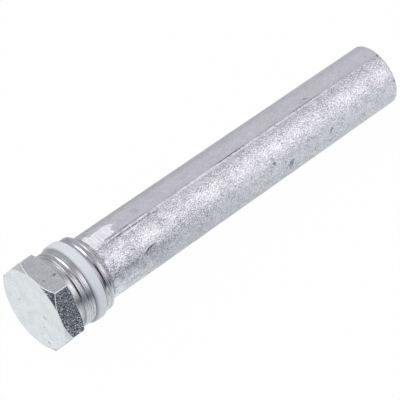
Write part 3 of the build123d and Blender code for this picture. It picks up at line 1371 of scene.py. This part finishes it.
    def inside(self, angle: np.ndarray) -> np.ndarray:
        """Half section of the blind hole and of the seat on the plug.

        Args:
            angle: Angles about the axis, in radians.

        Returns:
            Array (row, column, 2) of x and radius, from the middle of the hole's floor to the root's edge.
        """
        bore_floor = self.start + self.bore_depth
        floor = row(bore_floor, self.bore_radius, angle)
        wall = row(self.start + self.bore_countersink, self.bore_radius, angle)
        mouth = row(self.start, self.bore_radius + self.bore_countersink, angle)
        seat = row(self.start, self.root_radius - self.root_chamfer, angle)
        middle = row(bore_floor, 0, angle)
        return np.concatenate(
            [middle, floor, between(floor, wall, 4), wall, mouth, between(mouth, seat, 3), seat]
        )

    def casting_radius(self, x: np.ndarray) -> np.ndarray:
        """Radius of the tapered casting: root radius less the taper's share of the length."""
        share = (x - self.start) / self.length
        return self.root_radius + (self.tip_radius - self.root_radius) * share

    def seam(self, x: np.ndarray, angle: np.ndarray) -> np.ndarray:
        """Height of the two seams over the casting.

        Across a seam the height is that of half a cosine wave. Along it the height rises evenly over the fade
        length at each end, wavers by two cosines, and is less towards the tip, where the seam is worn.

        Args:
            x: Places along the axis, one per row.
            angle: Angles about the axis, one per column.

        Returns:
            Array (row, column), in metres.
        """
        away = (angle - math.radians(self.seam_angle) + math.pi / 2) % math.pi - math.pi / 2
        across = np.abs(away) * self.root_radius / (self.seam_width / 2)
        profile = 0.5 + 0.5 * np.cos(np.pi * np.clip(across, 0, 1))
        ends = np.minimum(x - self.start - self.root_chamfer, self.end - self.tip_round - x) / self.seam_fade
        wear = self.seam_wear * (x - self.start) / self.length
        long_wave, short_wave = (np.cos(x * FULL_TURN / wave) for wave in self.seam_waves)
        wear_and_highlight = 1 - self.seam_waver - wear + self.seam_waver * long_wave * short_wave
        return self.seam_height * (np.clip(ends, 0, 1) * wear_and_highlight)[:, None] * profile[None, :]

    def build(self) -> bpy.types.Object:
        """Builds and dresses the rod, in place of its CAD node.

        Returns:
            The rod.
        """
        angle = self.columns()
        first, last = self.start + self.root_chamfer, self.end - self.tip_round
        x = np.linspace(first, last, round((last - first) / self.row_step) + 1)
        turn = np.linspace(0, math.pi / 2, 8)[1:]
        outside = np.concatenate([x, last + self.tip_round * np.sin(turn)])
        hollow, layers = self.marked(outside, angle)

        radius = self.casting_radius(x)[:, None] + self.seam(x, angle) - hollow[: len(x)]
        radius += self.unevenness * swell(x, angle, self.uneven_wave, 11)
        side = np.stack([np.broadcast_to(x[:, None], radius.shape), radius], axis=-1)
        rounded = radius[-1:] + self.tip_round * (np.cos(turn)[:, None] - 1)
        tip = np.stack([np.broadcast_to(outside[len(x) :, None], rounded.shape), rounded], axis=-1)
        pole = row(self.end, 0, angle)
        inside = self.inside(angle)
        section = np.concatenate([inside, side, tip, between(tip[-1:], pole, 10), pole])

        piece = skin("cast_rod", section, angle)
        lead, tail = len(inside), len(section) - len(inside) - len(outside)
        for layer, values in layers.items():
            rest = self.far_grain if layer is Layer.GRAIN else 0.0
            paint(piece, layer.value, np.pad(values, ((lead, tail), (0, 0)), constant_values=rest))
        piece.data.materials.append(self.finish.material())
        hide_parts("anode_rod")
        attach(piece, "root")
        return piece


@dataclass
class CoreStud:
    """Steel stud inside the plug and the rod, which keeps its CAD shape."""

    finish: StudSteel = field(default_factory=StudSteel)

    def build(self) -> bpy.types.Object:
        """Dresses the CAD node.

        Returns:
            The stud.
        """
        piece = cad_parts["core_stud"]
        material = self.finish.material()
        for slot in piece.material_slots:
            slot.material = material
        return piece


# ---------------------------------------------------------------- studio


@dataclass(frozen=True)
class SoftLamp:
    """A square soft lamp that looks at the middle of the anode."""

    name: str
    way: tuple[float, float, float]  # towards the lamp
    distance: float
    side: float
    brightness: float  # of its face, where 1 is white

    def build(self, aim: Vector) -> bpy.types.Object:
        """Makes the lamp, whose power is pi times its area times its brightness.

        Args:
            aim: Place that it looks at.

        Returns:
            The lamp.
        """
        data = bpy.data.lights.new(self.name, "AREA")
        data.shape, data.size = "SQUARE", self.side
        data.energy = self.brightness * math.pi * self.side**2
        lamp = placed(self.name, data)
        way = Vector(self.way).normalized()
        facing = way.to_track_quat("Z", "Y").to_matrix().to_4x4()
        lamp.matrix_world = Matrix.Translation(aim + way * self.distance) @ facing
        return lamp


@dataclass
class Studio:
    """White table, soft grey surroundings, two large soft lamps and dark cloth round the head."""

    heel: tuple[float, float, float] = (9.2 * MM, 0, -18.0 * MM)  # where the head's lower flat touches
    toe: tuple[float, float, float] = (185.1 * MM, 0, -13.55 * MM)  # where the rod's tip touches
    table_half: float = 4.0
    far_side: tuple[float, ...] = (0.58, 0.58, 0.612, 1)
    near_side: tuple[float, ...] = (0.615, 0.61, 0.642, 1)
    near_side_at: tuple[float, float] = (0.2, -0.6)  # Y of the direction: far side ends, near side is full
    dim_way: tuple[float, float, float] = (0.447, 0.05, 0.893)  # towards the dimmer part overhead
    dim_at: tuple[float, float] = (0.95, 0.99)  # cosine of the angle from it: begins, and is full
    dimmed: float = 0.62
    paper: tuple[float, ...] = (0.85, 0.85, 0.85, 1)
    shining: float = 0.985  # share of the table's white that no shadow darkens
    middle: tuple[float, float, float] = (90 * MM, 0, 0)
    mirrored_tint: tuple[float, ...] = (0.95, 0.995, 1.0, 1)
    mirrored_near_face: float = 1.0  # brightness of the table in the metal, where white is 1
    mirrored_near_rod: float = 0.62
    brighter_near_tip: float = 1.15
    # A painted shadow under the head, in what the metal mirrors.
    painted_shadow_under_head: float = 0.4
    mirrored_far_side: float = 0.70
    mirrored_near_side: float = 0.78
    face_to_rod: tuple[float, float] = (30 * MM, 62 * MM)  # X between which it dims
    rod_to_tip: tuple[float, float] = (62 * MM, 190 * MM)  # X between which it brightens again
    under_head: tuple[float, ...] = (-0.5 * MM, 0.5 * MM, 9 * MM, 11 * MM)  # X: begins, full, full, ends
    far_side_at: tuple[float, float] = (34 * MM, 60 * MM)  # Y: begins, and is full
    near_side_from: tuple[float, float] = (-22 * MM, -30 * MM)  # Y: begins, and is full
    near_side_until: tuple[float, float] = (-4 * MM, 4 * MM)  # X: begins to end, and has ended
    cloth: tuple[float, ...] = (0.10, 0.113, 0.138, 1)
    strip_radius: float = 0.17  # about the head
    strips: tuple[tuple[float, float, float], ...] = (  # degrees from +X towards +Y, and height
        (170.0, 205.0, 0.100),
        (205.0, 248.0, 0.220),
        (248.0, 312.0, 0.064),
    )
    card_way: tuple[float, float, float] = (-0.447, -0.465, 0.764)
    card_distance: float = 1.25
    card_radius: float = 0.36
    lamps: tuple[SoftLamp, ...] = (
        SoftLamp("key_lamp", (0.38, -0.60, 0.70), 0.9, 0.58, 0.92),
        SoftLamp("fill_lamp", (-0.45, 0.44, 0.78), 0.9, 0.6, 2.0),
    )

    @property
    def table_normal(self) -> Vector:
        """Upward normal of the table under the head and the tip."""
        along = Vector(self.toe) - Vector(self.heel)
        return along.cross(Vector((0, 1, 0))).normalized()

    def lift(self, x: np.ndarray, y: np.ndarray) -> np.ndarray:
        """Points of the table's plane over places x and y.

        The height at a place is the heel's, less n dot (place - heel) over the height of the normal, where n
        is the normal's part along X and Y.

        Args:
            x: Places along X, one per point.
            y: Places along Y, one per point.

        Returns:
            Array (point, 3).
        """
        n, heel = self.table_normal, self.heel
        z = heel[2] - (n.x * (x - heel[0]) + n.y * (y - heel[1])) / n.z
        return np.stack([x, y, z], axis=-1)

    def sheet(
        self, name: str, points: np.ndarray, faces: list[list[int]], material: bpy.types.Material
    ) -> bpy.types.Object:
        """Makes a sheet of the stage.

        Args:
            name: Name of the object and its mesh.
            points: Array (point, 3).
            faces: Numbers of the points of each face.
            material: Its material.

        Returns:
            The sheet.
        """
        mesh = bpy.data.meshes.new(name)
        mesh.from_pydata(points, [], faces)
        mesh.materials.append(material)
        made = placed(name, mesh)
        return made

    def table_material(self) -> bpy.types.Material:
        """White table: it shines plain white where it is seen, and keeps part of each shadow.

        The metal mirrors it with painted shade, a little darker except before the head's face, and a painted
        shadow under the head.

        Returns:
            The table's material.
        """
        material, w = new_material("white_table")
        path = w.node("ShaderNodeLightPath", {}).outputs
        seen = w.maths("MAXIMUM", path["Is Camera Ray"], path["Is Transmission Ray"])
        split = w.node("ShaderNodeSeparateXYZ", {"Vector": w.place()}).outputs
        begins, full, still, ends = self.under_head
        # Painted light and shade in what the metal mirrors: dimmer near the rod and on both sides, brighter
        # towards the tip, and a painted shadow under the head.
        mirrored = w.product(
            w.span(split["X"], *self.face_to_rod, self.mirrored_near_face, self.mirrored_near_rod),
            w.span(split["X"], *self.rod_to_tip, 1, self.brighter_near_tip),
            w.maths(
                "MAXIMUM",
                w.span(split["X"], begins, full, 1, self.painted_shadow_under_head),
                w.span(split["X"], still, ends, 0, 1),
            ),
            w.span(split["Y"], *self.far_side_at, 1, self.mirrored_far_side),
            w.maths(
                "MAXIMUM",
                w.span(split["Y"], *self.near_side_from, 1, self.mirrored_near_side),
                w.span(split["X"], *self.near_side_until, 0, 1),
            ),
            path["Is Glossy Ray"],
        )
        brightness = w.maths("MAXIMUM", seen, mirrored)
        tint = w.blend(seen, self.mirrored_tint, WHITE)
        white = w.node("ShaderNodeEmission", {"Color": tint, "Strength": brightness}).outputs[0]
        paper = w.node("ShaderNodeBsdfDiffuse", {"Color": self.paper}).outputs[0]
        share = w.product(w.maths("MAXIMUM", seen, path["Is Glossy Ray"]), self.shining)
        w.finish(w.node("ShaderNodeMixShader", {0: share, 1: paper, 2: white}).outputs[0])
        return material

    def dark(self, name: str, points: np.ndarray, faces: list[list[int]]) -> None:
        """A dark cloth sheet on the stage, which only the metal mirrors.

        Args:
            name: Name of the object and its mesh.
            points: Array (point, 3).
            faces: Numbers of the points of each face.
        """
        material, w = new_material(f"{name}_cloth")
        w.finish(w.node("ShaderNodeBsdfDiffuse", {"Color": self.cloth}).outputs[0])
        made = self.sheet(name, points, faces, material)
        made.visible_camera = False
        made.visible_shadow = False
        made.visible_diffuse = False

    def strip(self, name: str, start: float, end: float, height: float) -> None:
        """Dark strip that stands on the table round the head, which mirrors it as the dark of the room.

        The point at angle a and height h is the strip's radius times (cos a, sin a), lifted to the table,
        plus h along the table's normal.

        Args:
            name: Name of the strip.
            start: Where it starts, in degrees from +X towards +Y.
            end: Where it ends.
            height: Its height, in metres.
        """
        turn = np.radians(np.linspace(start, end, 33))
        x, y = self.strip_radius * np.cos(turn), self.strip_radius * np.sin(turn)
        foot = self.lift(x, y)
        top = foot + np.array(self.table_normal) * height
        first = np.arange(len(turn) - 1)
        quads = np.stack([first, first + 1, first + 1 + len(turn), first + len(turn)], axis=-1)
        self.dark(name, np.concatenate([foot, top]), quads.tolist())

    def card(self) -> None:
        """Round dark card at the camera, which the inner corners of the thread mirror.

        The point at angle a is the card's middle plus its radius times (cos a, sin a) in the card's plane.
        """
        way = Vector(self.card_way).normalized()
        plane = np.array(way.to_track_quat("Z", "Y").to_matrix())
        turn = np.linspace(0, FULL_TURN, 33)[:-1]
        round_edge = np.stack([np.cos(turn), np.sin(turn), np.zeros_like(turn)], axis=-1) * self.card_radius
        middle = np.array(self.middle) + np.array(way) * self.card_distance
        self.dark("card", middle + round_edge @ plane.T, [list(range(len(turn)))])

    def world(self) -> None:
        """Soft surroundings that the metal reflects: grey, paler at the near side and dimmer overhead."""
        world = bpy.data.worlds.new("surroundings")
        world.use_nodes = True
        bpy.context.scene.world = world
        w = Wiring(world.node_tree)
        seen = w.node("ShaderNodeLightPath", {}).outputs["Is Camera Ray"]
        way = w.node("ShaderNodeTexCoord", {}).outputs["Generated"]
        split = w.node("ShaderNodeSeparateXYZ", {"Vector": way}).outputs
        near = w.span(split["Y"], *self.near_side_at, 0, 1)
        colour = w.blend(near, self.far_side, self.near_side)
        overhead = w.node("ShaderNodeVectorMath", {0: way, 1: self.dim_way}, operation="DOT_PRODUCT")
        colour = w.shade(colour, w.span(overhead.outputs["Value"], *self.dim_at, 1, self.dimmed))
        colour = w.blend(seen, colour, WHITE)
        shader = w.node("ShaderNodeBackground", {"Color": colour, "Strength": 1.0}).outputs[0]
        w.finish(shader, "ShaderNodeOutputWorld")

    def build(self) -> None:
        """Builds the table, the dark sheets, the lamps and the surroundings."""
        x, y = self.table_half * np.array([[-1, 1, 1, -1], [-1, -1, 1, 1]])
        self.sheet("table", self.lift(x, y), [[0, 1, 2, 3]], self.table_material())
        for number, (start, end, height) in enumerate(self.strips):
            self.strip(f"strip_{number}", start, end, height)
        self.card()
        self.world()
        for lamp in self.lamps:
            lamp.build(Vector(self.middle))


@dataclass
class ViewPoint:
    """Camera that stands upright over the table and looks down on the anode from beyond its head."""

    aim: tuple[float, float, float] = (87.28 * MM, -0.73 * MM, -2.03 * MM)
    azimuth: float = -43.917  # degrees
    elevation: float = 49.833  # degrees
    distance: float = 1362.5 * MM
    lens: float = 306.0  # millimetres, on the sensor below
    sensor: float = 36.0

    def build(self, upright: Vector) -> bpy.types.Object:
        """Makes the scene's camera.

        Args:
            upright: The table's normal, which stands upright in the view.

        Returns:
            The camera.
        """
        turn, rise = math.radians(self.azimuth), math.radians(self.elevation)
        back = Vector((math.sin(turn) * math.cos(rise), -math.cos(turn) * math.cos(rise), math.sin(rise)))
        right = upright.cross(back).normalized()
        axes = Matrix((right, back.cross(right), back)).transposed().to_4x4()
        data = bpy.data.cameras.new("camera")
        data.lens, data.sensor_width = self.lens, self.sensor
        data.clip_start, data.clip_end = 0.1, 20
        camera = placed("camera", data)
        camera.matrix_world = Matrix.Translation(Vector(self.aim) + back * self.distance) @ axes
        bpy.context.scene.camera = camera
        return camera


def report(piece: bpy.types.Object) -> None:
    """Logs a piece's name and number of faces."""
    LOG.info("%s: %d faces", piece.name, len(piece.data.polygons))


def main() -> None:
    """Builds the pieces, the studio and the camera in order, and logs each piece's number of faces."""
    logging.basicConfig(level=logging.INFO, format="%(name)s %(message)s")
    for assembly in (ThreadedPlug(), SealRing(), CastRod(), CoreStud()):
        report(assembly.build())
    studio = Studio()
    studio.build()
    ViewPoint().build(studio.table_normal)
    bpy.context.scene.view_settings.view_transform = "Standard"


if __name__ == "__main__":
    main()
